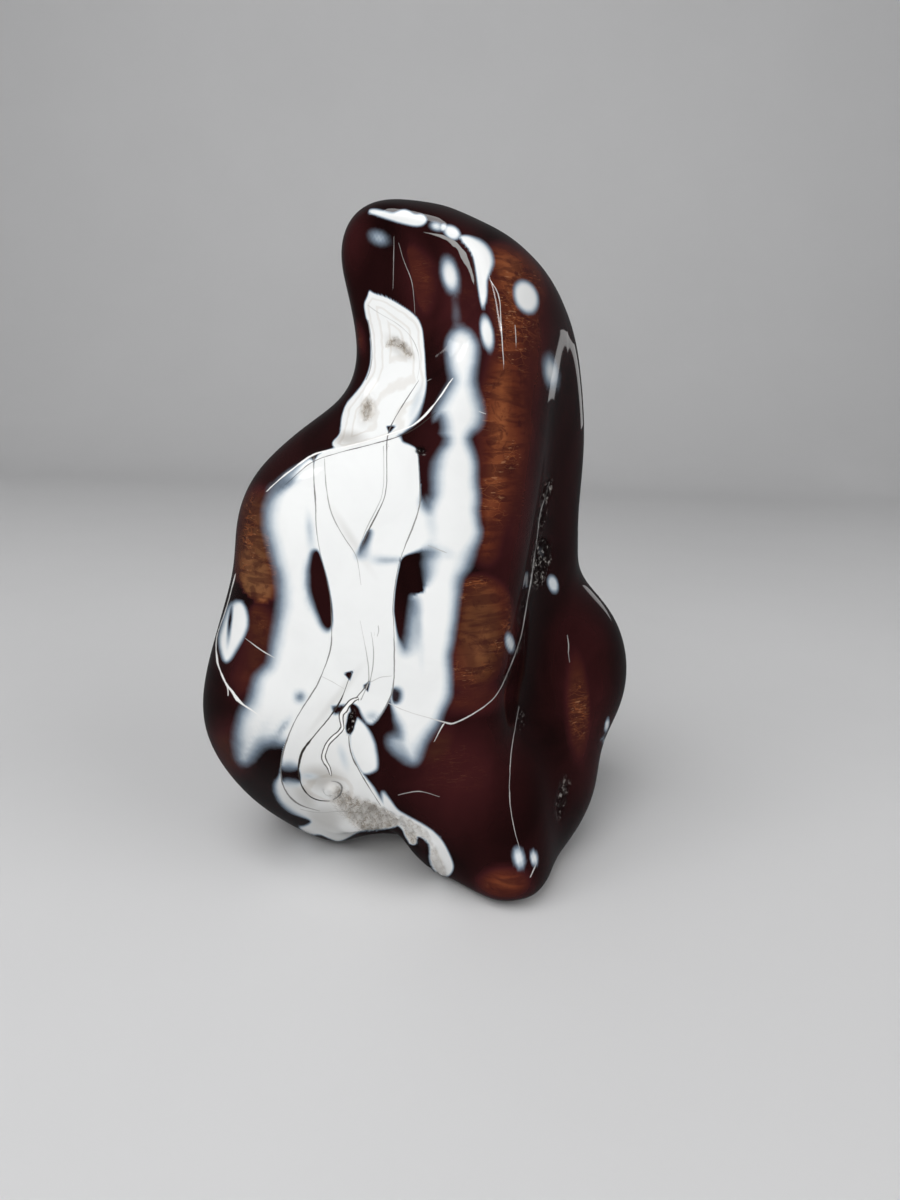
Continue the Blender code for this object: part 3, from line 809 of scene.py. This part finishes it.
@dataclass
class Markings:
    """The stone's markings, worked out for each vertex from the traced patches and lines.

    Turned is how a place faces the viewpoint where the survey gives way to the far side. Reach is
    how far from a line its width still counts. Thick is the depth of white that a veil starts from.
    Bead fields shape the far side's chains. Folds, rises and sinks are in millimetres. Fold
    darkening is how dark the painted shade in the crust's folds gets, which also stands for
    their brown crevices.
    """

    view: ShowView
    reach: float = 5.5
    thick: float = 1.3
    turned: Pair = (-0.34, -0.04)
    bead_step: float = 4.0
    bead_waver: float = 0.16
    back_blur: float = 2.2
    back_glow: float = 0.6
    ridge_half: float = 2.9
    crust_folds: float = 0.34
    crust_sink: float = 0.25
    pit_folds: float = 0.3
    pit_sink: float = 0.9
    button: Spot = Spot("button", 331, 789, 9.5, 7.5, 0, 3)
    button_rise: float = 1.3
    crease: float = 0.55

    def front(self, places: np.ndarray, normals: np.ndarray) -> np.ndarray:
        """Returns 1 where the survey holds and 0 on the far side."""
        return softly(*self.turned, self.view.facing(places, normals))

    def far_milk(self, places: np.ndarray) -> np.ndarray:
        """Lays the far side's own white bands and eyes.

        Args:
            places: Places in metres.

        Returns:
            Depth in blurs, as a patch gives it.
        """
        x, _, z = (places * TO_MM).T
        x = x + 1.6 * np.sin(z / 5.2) + 0.8 * np.sin(z / 2.1 + x / 3.0)
        z = z + 1.3 * np.sin(x / 4.3 + 1.0)
        total = np.zeros(len(places))
        for chain in FAR_CHAINS:
            run = np.array(chain)
            for start, end in zip(run, run[1:]):
                steps = max(int(np.hypot(*(end - start)[:2]) / self.bead_step), 1)
                for step in range(steps):
                    across, high, half = start + (end - start) * step / steps
                    half *= 1.0 + self.bead_waver * math.sin(high * 0.9 + across)
                    total += np.exp(FAR_JOIN * (half - np.hypot(x - across, z - high)))
        return np.log(np.maximum(total, TINY)) / FAR_JOIN / self.back_blur

    def milk(self, at: np.ndarray) -> np.ndarray:
        """Returns how deep each place lies in the white, in blurs."""
        deep = np.max([mark.depth(at) for mark in WHITE], axis=0)
        deep = np.maximum(deep, np.max([mark.swell(at) for mark in MISTS], axis=0) - self.thick)
        for mark in DARK:
            deep = np.minimum(deep, -mark.depth(at))
        veiled = np.sum([mark.swell(at) for mark in VEILS], axis=0)
        deep = np.where(veiled > 0.02, np.minimum(deep, self.thick) - veiled, deep)
        return np.clip(deep, -DEEPEST, DEEPEST)

    def mix(self, marks: tuple, at: np.ndarray) -> np.ndarray:
        """Returns the greatest share of any of the marks, from 0 to 1."""
        return np.max([mark.share * softly(-1.0, 1.0, mark.depth(at)) for mark in marks], axis=0)

    def vein(self, group: tuple[Trail, ...], at: np.ndarray, front: np.ndarray) -> np.ndarray:
        """Measures places against the nearest line of a group.

        Args:
            group: Lines that lie well apart.
            at: Survey coordinates.
            front: How far the survey holds.

        Returns:
            Signed distance, half width and tone, one row for each place.
        """
        best = np.tile((FARTHEST, -1.0, 0.0), (len(at), 1))
        for line in group:
            signed, width = line.near(at)
            closer = np.abs(signed) < np.abs(best[:, 0])
            best[closer] = np.stack([signed, width, np.full(len(at), line.tone)], axis=1)[closer]
        seen = (front > 0.5) & (np.abs(best[:, 0]) < self.reach)
        best[:, 1] = np.where(seen, best[:, 1], -1.0)
        best[:, 0] = np.clip(best[:, 0], -self.reach, self.reach)
        return best

    def folds(self, places: np.ndarray) -> np.ndarray:
        """Returns the height of the crystal crust's folds at each place, from about -2 to 2."""
        x, y, z = (places * TO_MM).T
        wide = np.sin(x * 2.7 + 1.5 * np.sin(z * 0.9 + x * 0.4))
        narrow = 0.6 * np.sin(x * 5.6 + z * 2.1 + 1.2 * np.sin(y * 2.2))
        return wide + narrow + 0.5 * np.sin(z * 4.3 + 1.7 * np.sin(x * 1.9))

    def relief(self, places: np.ndarray, normals: np.ndarray) -> np.ndarray:
        """Works out how far each vertex stands out or in.

        Args:
            places: Places in metres.
            normals: Their outward directions.

        Returns:
            Heights in metres.
        """
        at, folds = self.view.survey(places), self.folds(places)
        height = np.zeros(len(places))
        for ridge in RIDGES:
            signed, share = ridge.near(at)
            profile = np.exp(-((signed / self.ridge_half) ** 2))
            height += ridge.tone * np.clip(share, 0.0, 1.0) * profile
        height += self.mix(CREAM, at) * (self.crust_folds * folds - self.crust_sink)
        height += self.mix(PITS, at) * (self.pit_folds * folds - self.pit_sink)
        height += self.button_rise * softly(0.0, 1.6, self.button.depth(at))
        return height * self.front(places, normals) / TO_MM

    def write(self, mesh: bpy.types.Mesh) -> None:
        """Stores every marking on the mesh.

        Args:
            mesh: The finished mesh.
        """
        places, normals = read_mesh(mesh)
        at, front = self.view.survey(places), self.front(places, normals)
        back = 1.0 - front
        milk = front * self.milk(at) + back * np.clip(self.far_milk(places), -3.0, 3.0)
        store(mesh, Mark.MILK.value, milk)
        x, y, z = (places * TO_MM).T
        drift = np.sin(x / 17.0 + 2.0) * np.sin(z / 23.0 + y / 19.0) + 0.4 * np.sin(z / 9.0)
        warm = front * self.mix(EMBER, at) + back * self.back_glow * softly(0.1, 1.4, drift)
        druse = self.mix(CREAM, at)
        # Painted shade in the hollows of the crust's folds, which also stands for its brown
        # crevices.
        creases = self.crease * druse * softly(0.1, -1.1, self.folds(places))
        shade = np.maximum(self.mix(SHADE, at), creases) * front
        # Glow, olive share, and the white's darkening, which is painted shade in places.
        store(mesh, Mark.WARMTH.value, np.stack([warm, self.mix(OLIVE, at) * front, shade], axis=1))
        shell = np.clip(np.max([mark.depth(at) for mark in SHELLS], axis=0), 0.0, 26.0)
        grain = np.stack([druse, self.mix(PITS, at), shell], axis=1) * front[:, None]
        store(mesh, Mark.GRAIN.value, grain)
        for place, group in enumerate(VEINS):
            store(mesh, f"{Mark.VEIN.value}_{place}", self.vein(group, at, front))


def read_mesh(mesh: bpy.types.Mesh) -> tuple[np.ndarray, np.ndarray]:
    """Reads a mesh.

    Args:
        mesh: The mesh.

    Returns:
        Its vertices' places and normals, one in each row.
    """
    places = np.empty(len(mesh.vertices) * 3)
    normals = places.copy()
    mesh.vertices.foreach_get("co", places)
    mesh.vertices.foreach_get("normal", normals)
    return places.reshape(-1, 3), normals.reshape(-1, 3)


def store(mesh: bpy.types.Mesh, name: str, values: np.ndarray) -> None:
    """Stores one number or one triple for each vertex.

    Args:
        mesh: The mesh.
        name: The attribute's name.
        values: The numbers, or one triple in each row.
    """
    kind, slot = ("FLOAT", "value") if values.ndim == 1 else ("FLOAT_VECTOR", "vector")
    layer = mesh.attributes.new(name, kind, "POINT")
    layer.data.foreach_set(slot, np.ascontiguousarray(values, np.float32).ravel())


class Graph:
    """A material's nodes, with short ways to add to them."""

    def __init__(self, name: str) -> None:
        """Starts a material with its Principled shader."""
        self.material = bpy.data.materials.new(name)
        self.material.use_nodes = True
        self.tree = self.material.node_tree
        self.shader = self.tree.nodes["Principled BSDF"]

    def node(self, kind: str, **settings: object) -> bpy.types.Node:
        """Adds a node.

        Args:
            kind: The node's type.
            settings: Values for its own settings.

        Returns:
            The node.
        """
        made = self.tree.nodes.new(kind)
        for name, value in settings.items():
            setattr(made, name, value)
        return made

    def feed(self, socket: Socket, value: object) -> None:
        """Gives a socket a number, a colour or another socket's output."""
        if isinstance(value, Socket):
            self.tree.links.new(value, socket)
        else:
            socket.default_value = value

    def feed_all(self, made: bpy.types.Node, values: dict[str, object]) -> None:
        """Feeds several of a node's inputs by their names."""
        for name, value in values.items():
            self.feed(made.inputs[name], value)

    def place(self) -> Socket:
        """Returns object coordinates."""
        return self.node("ShaderNodeTexCoord").outputs["Object"]

    def maths(self, operation: str, *values: object) -> Socket:
        """Adds a sum and returns its result."""
        made = self.node("ShaderNodeMath", operation=operation)
        for socket, value in zip(made.inputs, values):
            self.feed(socket, value)
        return made.outputs[0]

    def spread(
        self, value: object, low: object, high: object, to_low: float = 0.0, to_high: float = 1.0
    ) -> Socket:
        """Adds a clamped smooth step.

        Args:
            value: What is spread.
            low: Where the step starts.
            high: Where it ends.
            to_low: The result at low.
            to_high: The result at high.

        Returns:
            The result.
        """
        made = self.node("ShaderNodeMapRange", interpolation_type="SMOOTHSTEP")
        self.feed_all(made, {
            "Value": value, "From Min": low, "From Max": high, "To Min": to_low, "To Max": to_high})
        return made.outputs["Result"]

    def blend(self, share: object, first: object, second: object, how: str = "MIX") -> Socket:
        """Adds a colour mix and returns its result."""
        made = self.node("ShaderNodeMix", data_type="RGBA", blend_type=how)
        for slot, value in zip((0, 6, 7), (share, first, second)):
            self.feed(made.inputs[slot], value)
        return made.outputs[2]

    def triple(self, name: str) -> tuple[Socket, Socket, Socket]:
        """Reads a triple that the mesh carries and returns its three numbers."""
        read, parts = self.node("ShaderNodeAttribute"), self.node("ShaderNodeSeparateXYZ")
        read.attribute_name = name
        self.feed(parts.inputs[0], read.outputs["Vector"])
        return parts.outputs[0], parts.outputs[1], parts.outputs[2]

    def noise(
        self,
        place: Socket,
        scale: float,
        detail: float = 3.0,
        rough: float = 0.5,
        warp: float = 0.0,
        tints: bool = False,
    ) -> Socket:
        """Adds a noise texture.

        Args:
            place: Where it is read.
            scale: How fine it is.
            detail: How many finer layers it has.
            rough: How strong those are.
            warp: How far it is warped.
            tints: Whether three noises are wanted, as a colour, and not one.

        Returns:
            The noise, from 0 to 1.
        """
        made = self.node("ShaderNodeTexNoise")
        self.feed_all(made, {"Vector": place, "Scale": scale, "Detail": detail})
        self.feed_all(made, {"Roughness": rough, "Distortion": warp})
        return made.outputs["Color" if tints else "Fac"]

    def turned(self, place: Socket, turn: Point, scale: Point) -> Socket:
        """Turns and stretches places and returns them."""
        made = self.node("ShaderNodeMapping")
        self.feed_all(made, {"Vector": place, "Rotation": turn, "Scale": scale})
        return made.outputs[0]

    def cells(self, place: Socket, scale: float, stir: Socket, by: float) -> Socket:
        """Adds a pattern of cells.

        Args:
            place: Where it is read.
            scale: How fine it is.
            stir: A noise that moves places about.
            by: How far it moves them.

        Returns:
            The distance to the edge between cells.
        """
        stirred = self.node("ShaderNodeVectorMath", operation="MULTIPLY_ADD")
        for socket, value in zip(stirred.inputs, (stir, (by, by, by), place)):
            self.feed(socket, value)
        made = self.node("ShaderNodeTexVoronoi", feature="DISTANCE_TO_EDGE")
        self.feed_all(made, {"Vector": stirred.outputs[0], "Scale": scale})
        return made.outputs["Distance"]

    def ramp(self, value: object, *stops: tuple[float, Colour]) -> Socket:
        """Adds a colour ramp and returns its colour."""
        made = self.node("ShaderNodeValToRGB")
        self.feed(made.inputs["Fac"], value)
        band = made.color_ramp
        while len(band.elements) < len(stops):
            band.elements.new(0.5)
        for element, (position, colour) in zip(band.elements, stops):
            element.position, element.color = position, colour
        return made.outputs["Color"]


@dataclass(frozen=True)
class CarnelianFinish:
    """Polished carnelian: a near-black red body, orange in places, under white chalcedony.

    The fineness fields are the scales of the patterns that show most. The veil fields are the
    depths in blurs over which the body turns to haze, haze to pearl and pearl to white.
    """

    deep: Colour = (0.0065, 0.0014, 0.0014, 1.0)
    wine: Colour = (0.034, 0.0068, 0.0075, 1.0)
    rust: Colour = (0.112, 0.026, 0.0115, 1.0)
    honey: Colour = (0.270, 0.083, 0.030, 1.0)
    olive: Colour = (0.185, 0.082, 0.034, 1.0)
    haze: Colour = (0.215, 0.275, 0.345, 1.0)
    pearl: Colour = (0.625, 0.675, 0.710, 1.0)
    white: Colour = (0.860, 0.870, 0.865, 1.0)
    # dusk is the grey that the white's darkening multiplies by, partly painted shade, and the
    # colour of the painted glints in the pits.
    dusk: Colour = (0.50, 0.47, 0.44, 1.0)
    cream: Colour = (0.850, 0.825, 0.785, 1.0)
    tan: Colour = (0.480, 0.410, 0.330, 1.0)
    fleck: Colour = (0.420, 0.200, 0.100, 1.0)
    umber: Colour = (0.062, 0.024, 0.011, 1.0)
    # The thin lines' colours, for veins and cracks and for the painted highlights and reflections.
    vein_dark: Colour = (0.040, 0.032, 0.028, 1.0)
    vein_light: Colour = (0.920, 0.915, 0.900, 1.0)
    polish: float = 0.045
    crust_rough: float = 0.55
    pit_rough: float = 0.42
    specular: float = 0.25
    index: float = 1.54
    bump_deep: float = 0.001
    bump_fineness: float = 1400.0
    flake_fineness: float = 210.0
    layer_fineness: float = 105.0
    crystal_fineness: float = 430.0
    flake_turn: Point = (0.2, 0.25, 0.0)
    flake_stretch: Point = (1.0, 1.0, 2.3)
    layer_turn: Point = (0.15, 0.3, 0.0)
    layer_stretch: Point = (1.0, 1.0, 5.0)
    haze_veil: Pair = (-1.05, 0.05)
    pearl_veil: Pair = (-0.4, 0.55)
    white_veil: Pair = (0.15, 1.05)
    vein_edge: float = 0.45

    def build(self) -> bpy.types.Material:
        """Makes the material, which reads the stone's own attributes.

        Returns:
            The material.
        """
        graph = Graph("polished_carnelian")
        place = graph.place()
        druse, pits, shell = graph.triple(Mark.GRAIN.value)
        warm, olive, shade = graph.triple(Mark.WARMTH.value)
        body = self.body(graph, place, warm, olive)
        white = self.chalcedony(graph, place, druse, shell, shade)
        colour = self.veins(graph, place, self.milk(graph, place, druse, body, white))
        # Light specks in the chips and holes: painted glints.
        chips = graph.spread(graph.noise(place, 640, 4, 0.75), 0.54, 0.66)
        colour = graph.blend(pits, colour, graph.blend(chips, self.deep, self.dusk))
        rough = graph.maths("MULTIPLY", druse, self.crust_rough)
        rough = graph.maths("MAXIMUM", rough, graph.maths("MULTIPLY", pits, self.pit_rough))
        bump = graph.node("ShaderNodeBump")
        graph.feed_all(bump, {
            "Distance": self.bump_deep,
            "Strength": graph.maths("MAXIMUM", druse, pits),
            "Height": graph.noise(place, self.bump_fineness, 4, 0.65),
        })
        graph.feed_all(graph.shader, {
            "Base Color": colour,
            "Roughness": graph.maths("MAXIMUM", rough, self.polish),
            "IOR": self.index,
            "Specular IOR Level": self.specular,
            "Normal": bump.outputs["Normal"],
        })
        return graph.material

    def body(self, graph: Graph, place: Socket, warm: Socket, olive: Socket) -> Socket:
        """Colours the translucent body, with the cracks and flakes that show in its warm parts.

        Args:
            graph: The material's nodes.
            place: Object coordinates.
            warm: How much the body glows.
            olive: How far the glow leans to olive.

        Returns:
            The body's colour.
        """
        drift = graph.noise(place, 42, 4, 0.6, 0.6)
        warm = graph.maths("MULTIPLY", warm, graph.spread(drift, 0.25, 0.62, 0.6, 1.1))
        some, most = graph.spread(warm, 0.1, 0.5), graph.spread(warm, 0.12, 0.6)
        dark = (0.0, self.deep)
        red = graph.ramp(warm, dark, (0.16, self.wine), (0.55, self.rust), (1.0, self.honey))
        brown = graph.ramp(warm, dark, (0.2, self.wine), (0.5, self.umber), (1.0, self.olive))
        glow = graph.spread(graph.noise(place, 24, 3, 0.55, 1.2), 0.36, 0.72, 0.0, 0.4)
        colour = graph.blend(glow, graph.blend(olive, red, brown), self.wine, "ADD")
        layered = graph.turned(place, self.layer_turn, self.layer_stretch)
        shelf = graph.noise(layered, self.layer_fineness, 3, 0.55, 0.5)
        gaps = graph.spread(shelf, 0.38, 0.60, 0.6, 0.0)
        colour = graph.blend(graph.maths("MULTIPLY", gaps, some), colour, self.wine)
        seen = graph.spread(graph.noise(place, 75, 2, 0.5), 0.47, 0.60)
        seen = graph.maths("MULTIPLY", seen, most)
        edge = graph.maths("ABSOLUTE", graph.maths("SUBTRACT", shelf, 0.52))
        arcs = graph.maths("MULTIPLY", graph.spread(edge, 0.004, 0.022, 0.65, 0.0), seen)
        colour = graph.blend(arcs, colour, self.honey)
        spots = graph.spread(graph.noise(place, 230, 4, 0.65, 0.8), 0.48, 0.66, 0.0, 0.6)
        colour = graph.blend(graph.maths("MULTIPLY", spots, some), colour, self.wine)
        stretched = graph.turned(place, self.flake_turn, self.flake_stretch)
        wander = graph.noise(place, 150, 3, 0.6, tints=True)
        flakes = graph.cells(stretched, self.flake_fineness, wander, 0.005)
        cracks = graph.maths("MULTIPLY", graph.spread(flakes, 0.0, 0.04, 0.4, 0.0), seen)
        colour = graph.blend(cracks, colour, self.honey)
        fleck = graph.spread(graph.noise(layered, 420, 2, 0.5), 0.62, 0.70, 0.0, 0.6)
        return graph.blend(graph.maths("MULTIPLY", fleck, seen), colour, self.fleck)

    def chalcedony(
        self, graph: Graph, place: Socket, druse: Socket, shell: Socket, shade: Socket
    ) -> Socket:
        """Colours the full white, with its clouds, growth lines and crystal crust, darkened in
        places, partly by painted shade.

        Args:
            graph: The material's nodes.
            place: Object coordinates.
            druse: The share of coarse crystal.
            shell: How deep the place lies in a part with growth lines.
            shade: The share of darkening, painted shade in places.

        Returns:
            The white's colour.
        """
        cloud = graph.spread(graph.noise(place, 60, 4, 0.6, 0.8), 0.35, 0.75, 0.0, 0.55)
        white = graph.blend(cloud, self.white, dimmed(self.white, 0.93))
        stir = graph.noise(place, 330, 3, 0.6, tints=True)
        crystals = graph.spread(graph.cells(place, self.crystal_fineness, stir, 0.0035), 0.0, 0.07)
        stain = graph.spread(graph.noise(place, 190, 3, 0.6), 0.58, 0.70, 0.0, 0.5)
        crust = graph.blend(stain, graph.blend(crystals, self.tan, self.cream), self.tan)
        white = graph.blend(druse, white, crust)
        ring = graph.maths("MULTIPLY", shell, 0.8)
        ring = graph.maths("MULTIPLY_ADD", graph.noise(place, 120, 3, 0.5), 9.0, ring)
        lines = graph.spread(graph.maths("SINE", ring), 0.35, 1.0, 0.0, 0.24)
        lines = graph.maths("MULTIPLY", lines, graph.spread(shell, 0.5, 3.0))
        return graph.blend(shade, graph.blend(lines, white, self.tan), self.dusk, "MULTIPLY")

    def milk(
        self, graph: Graph, place: Socket, druse: Socket, body: Socket, white: Socket
    ) -> Socket:
        """Lays the white over the body, blue where it thins out.

        Args:
            graph: The material's nodes.
            place: Object coordinates.
            druse: The share of coarse crystal, which has a ragged edge.
            body: The body's colour.
            white: The full white's colour.

        Returns:
            The mixed colour.
        """
        depth = graph.node("ShaderNodeAttribute", attribute_name=Mark.MILK.value).outputs["Fac"]
        ripple = graph.maths("MULTIPLY_ADD", graph.noise(place, 210, 3, 0.55), 0.44, -0.22)
        rag = graph.maths("MULTIPLY_ADD", graph.noise(place, 560, 3, 0.7), 5.0, -2.5)
        depth = graph.maths("MULTIPLY_ADD", rag, druse, graph.maths("ADD", depth, ripple))
        colour = graph.blend(graph.spread(depth, *self.haze_veil), body, self.haze)
        colour = graph.blend(graph.spread(depth, *self.pearl_veil), colour, self.pearl)
        return graph.blend(graph.spread(depth, *self.white_veil), colour, white)

    def veins(self, graph: Graph, place: Socket, colour: Socket) -> Socket:
        """Draws the thin lines over the colour.

        Args:
            graph: The material's nodes.
            place: Object coordinates.
            colour: The colour so far.

        Returns:
            The colour with its lines.
        """
        shake = graph.maths("MULTIPLY_ADD", graph.noise(place, 420, 3, 0.6), 0.8, -0.4)
        waver = graph.spread(graph.noise(place, 170, 2, 0.5), 0.36, 0.62, 0.40, 0.82)
        for group in range(len(VEINS)):
            signed, width, tone = graph.triple(f"{Mark.VEIN.value}_{group}")
            gap = graph.maths("ABSOLUTE", graph.maths("ADD", signed, shake))
            half = graph.maths("MULTIPLY", width, waver)
            inner = graph.maths("SUBTRACT", half, self.vein_edge)
            outer = graph.maths("ADD", half, self.vein_edge)
            line = graph.blend(tone, self.vein_dark, self.vein_light)
            colour = graph.blend(graph.spread(gap, inner, outer, 1.0, 0.0), colour, line)
        return colour


@dataclass
class Stone:
    """The stone in one piece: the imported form, rounded, worked and marked.

    Weld is how near two vertices are merged. Halvings is how often the faces are halved. Settle is
    how often the skin is smoothed, and settling how far each time. Fine markings get smaller faces
    where the skin faces the viewpoint by more than fine_facing.
    """

    view: ShowView
    finish: CarnelianFinish = field(default_factory=CarnelianFinish)
    halvings: int = 2
    settle: int = 3
    settling: float = 0.5
    weld: float = 1e-6
    fine_facing: float = 0.1

    def shape(self) -> bmesh.types.BMesh:
        """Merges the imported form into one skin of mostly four-sided faces.

        Returns:
            The skin, in metres.
        """
        skin = bmesh.new()
        skin.from_mesh(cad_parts[STONE_NODE].data)
        bmesh.ops.remove_doubles(skin, verts=skin.verts, dist=self.weld)
        bmesh.ops.join_triangles(
            skin, faces=skin.faces, angle_face_threshold=math.pi, angle_shape_threshold=math.pi
        )
        return skin

    def rounded(self, skin: bmesh.types.BMesh) -> bpy.types.Object:
        """Rounds the skin with a subdivision surface and makes it the stone's object.

        Args:
            skin: The merged skin, which is freed.

        Returns:
            The object.
        """
        mesh = bpy.data.meshes.new("polished_stone")
        skin.to_mesh(mesh)
        skin.free()
        piece = placed("polished_stone", mesh)
        rounding = piece.modifiers.new("rounding", "SUBSURF")
        rounding.levels = rounding.render_levels = self.halvings
        graph = bpy.context.evaluated_depsgraph_get()
        fine = bpy.data.meshes.new_from_object(piece.evaluated_get(graph))
        piece.modifiers.clear()
        piece.data = fine
        return piece

    def refine(self, mesh: bpy.types.Mesh) -> None:
        """Halves the faces under the finest markings once more, and settles the whole skin.

        Args:
            mesh: The rounded mesh.
        """
        skin = bmesh.new()
        skin.from_mesh(mesh)
        places, normals = read_mesh(mesh)
        at = self.view.survey(places)
        fine = np.max([zone.depth(at) for zone in FINE], axis=0) > 0
        fine &= self.view.facing(places, normals) > self.fine_facing
        edges = [edge for edge in skin.edges if all(fine[vert.index] for vert in edge.verts)]
        bmesh.ops.subdivide_edges(skin, edges=edges, cuts=1, use_grid_fill=True)
        axes = {"use_axis_x": True, "use_axis_y": True, "use_axis_z": True}
        for _ in range(self.settle):
            bmesh.ops.smooth_vert(skin, verts=skin.verts, factor=self.settling, **axes)
        skin.to_mesh(mesh)
        skin.free()

    def build(self) -> bpy.types.Object:
        """Builds and dresses the stone.

        Returns:
            The stone's object.
        """
        piece = self.rounded(self.shape())
        mesh = piece.data
        self.refine(mesh)
        markings = Markings(self.view)
        places, normals = read_mesh(mesh)
        places += normals * markings.relief(places, normals)[:, None]
        mesh.vertices.foreach_set("co", places.ravel())
        mesh.update()
        mesh.shade_smooth()
        markings.write(mesh)
        mesh.materials.clear()
        mesh.materials.append(self.finish.build())
        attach(piece, "root")
        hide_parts(STONE_NODE)
        return piece


class Duty(Enum):
    """What a lamp is for."""

    WASH = "lights the stone and the floor, and isn't mirrored"
    GLEAM = "is only mirrored in the polish"


@dataclass(frozen=True)
class Lamp:
    """An area lamp round the stone. Angles are in degrees, lengths in metres and power in watts."""

    name: str
    bearing: float
    rise: float
    away: float
    wide: float
    high: float
    power: float
    duty: Duty = Duty.GLEAM
    roll: float = 0.0

    def build(self, target: Vector) -> bpy.types.Object:
        """Makes the lamp and turns it to the target.

        Args:
            target: What it faces.

        Returns:
            The lamp's object.
        """
        lamp = bpy.data.lights.new(self.name, "AREA")
        lamp.shape, lamp.energy = "RECTANGLE", self.power
        lamp.size, lamp.size_y = self.wide, self.high
        holder = placed(self.name, lamp)
        turn, lift = math.radians(self.bearing), math.radians(self.rise)
        flat = math.cos(lift)
        out = Vector((math.sin(turn) * flat, -math.cos(turn) * flat, math.sin(lift)))
        holder.location = target + out * self.away
        spin = Matrix.Rotation(math.radians(self.roll), 3, out)
        holder.rotation_euler = (spin @ (-out).to_track_quat("-Z", "Y").to_matrix()).to_euler()
        holder.visible_camera = False
        holder.visible_glossy = self.duty is Duty.GLEAM
        holder.visible_diffuse = self.duty is Duty.WASH
        return holder


@dataclass
class Studio:
    """The pale floor that sweeps up behind, and the soft light."""

    floor_half: float = 2.5
    sweep_start: float = 0.9
    sweep_bend: float = 0.5
    sweep_high: float = 2.4
    sweep_steps: int = 12
    lit_height: float = 0.1
    floor_rough: float = 0.7
    tone: Colour = (0.74, 0.74, 0.745, 1.0)
    air: Colour = (0.062, 0.063, 0.065, 1.0)
    lamps: tuple[Lamp, ...] = (
        Lamp("soft_key", -36.0, 54.0, 1.5, 1.3, 1.3, 19.3, Duty.WASH),
        Lamp("soft_fill", 60.0, 30.0, 1.6, 1.2, 1.2, 8.0, Duty.WASH),
        Lamp("low_fill", -8.0, 9.0, 1.5, 1.2, 0.5, 5.6, Duty.WASH),
        Lamp("sky_pane", -80.0, 84.0, 1.0, 0.5, 0.5, 3.6),
        Lamp("window_pane", -74.0, 39.0, 1.2, 0.3, 0.1, 0.5),
        Lamp("top_pane", 58.0, 34.0, 1.2, 0.75, 0.06, 2.2, Duty.GLEAM, -44.0),
        Lamp("rear_pane", 146.0, 4.5, 1.3, 0.22, 0.18, 0.1),
    )

    def floor(self) -> bpy.types.Object:
        """Makes the floor and its sweep.

        Returns:
            The floor.
        """
        sheet = bmesh.new()
        steps = [(-self.floor_half, 0.0), (self.sweep_start, 0.0)]
        for part in range(1, self.sweep_steps + 1):
            angle = math.pi / 2 * part / self.sweep_steps
            across, up = math.sin(angle), 1.0 - math.cos(angle)
            steps.append((self.sweep_start + self.sweep_bend * across, self.sweep_bend * up))
        steps.append((steps[-1][0], self.sweep_high))
        row = [sheet.verts.new((-self.floor_half, y, z)) for y, z in steps]
        for start, end in zip(row, row[1:]):
            sheet.edges.new((start, end))
        moved = bmesh.ops.extrude_edge_only(sheet, edges=sheet.edges[:])
        verts = [item for item in moved["geom"] if isinstance(item, bmesh.types.BMVert)]
        bmesh.ops.translate(sheet, verts=verts, vec=(2 * self.floor_half, 0.0, 0.0))
        bmesh.ops.recalc_face_normals(sheet, faces=sheet.faces[:])
        mesh = bpy.data.meshes.new("studio_floor")
        sheet.to_mesh(mesh)
        sheet.free()
        mesh.shade_smooth()
        floor = placed("studio_floor", mesh)
        graph = Graph("pale_floor")
        cloud = graph.noise(graph.place(), 6, 4, 0.6)
        tone = graph.blend(cloud, self.tone, dimmed(self.tone, 0.94))
        graph.feed_all(graph.shader, {"Base Color": tone, "Roughness": self.floor_rough})
        mesh.materials.append(graph.material)
        floor.visible_glossy = False
        return floor

    def build(self) -> None:
        """Makes the floor, the air and the lamps."""
        self.floor()
        world = bpy.data.worlds.new("studio_air")
        world.use_nodes = True
        world.node_tree.nodes["Background"].inputs["Color"].default_value = self.air
        bpy.context.scene.world = world
        for lamp in self.lamps:
            lamp.build(Vector((0.0, 0.0, self.lit_height)))
        bpy.context.scene.view_settings.view_transform = "Standard"


def main() -> None:
    """Builds the view, the stone and the studio."""
    logging.basicConfig(level=logging.INFO, format="%(name)s: %(message)s")
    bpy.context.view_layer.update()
    view = ShowView()
    view.make_camera()
    piece = Stone(view).build()
    corners = sum(len(face.vertices) - 2 for face in piece.data.polygons)
    log.info("%s: %d faces, %d triangles", piece.name, len(piece.data.polygons), corners)
    Studio().build()


if __name__ == "__main__":
    main()
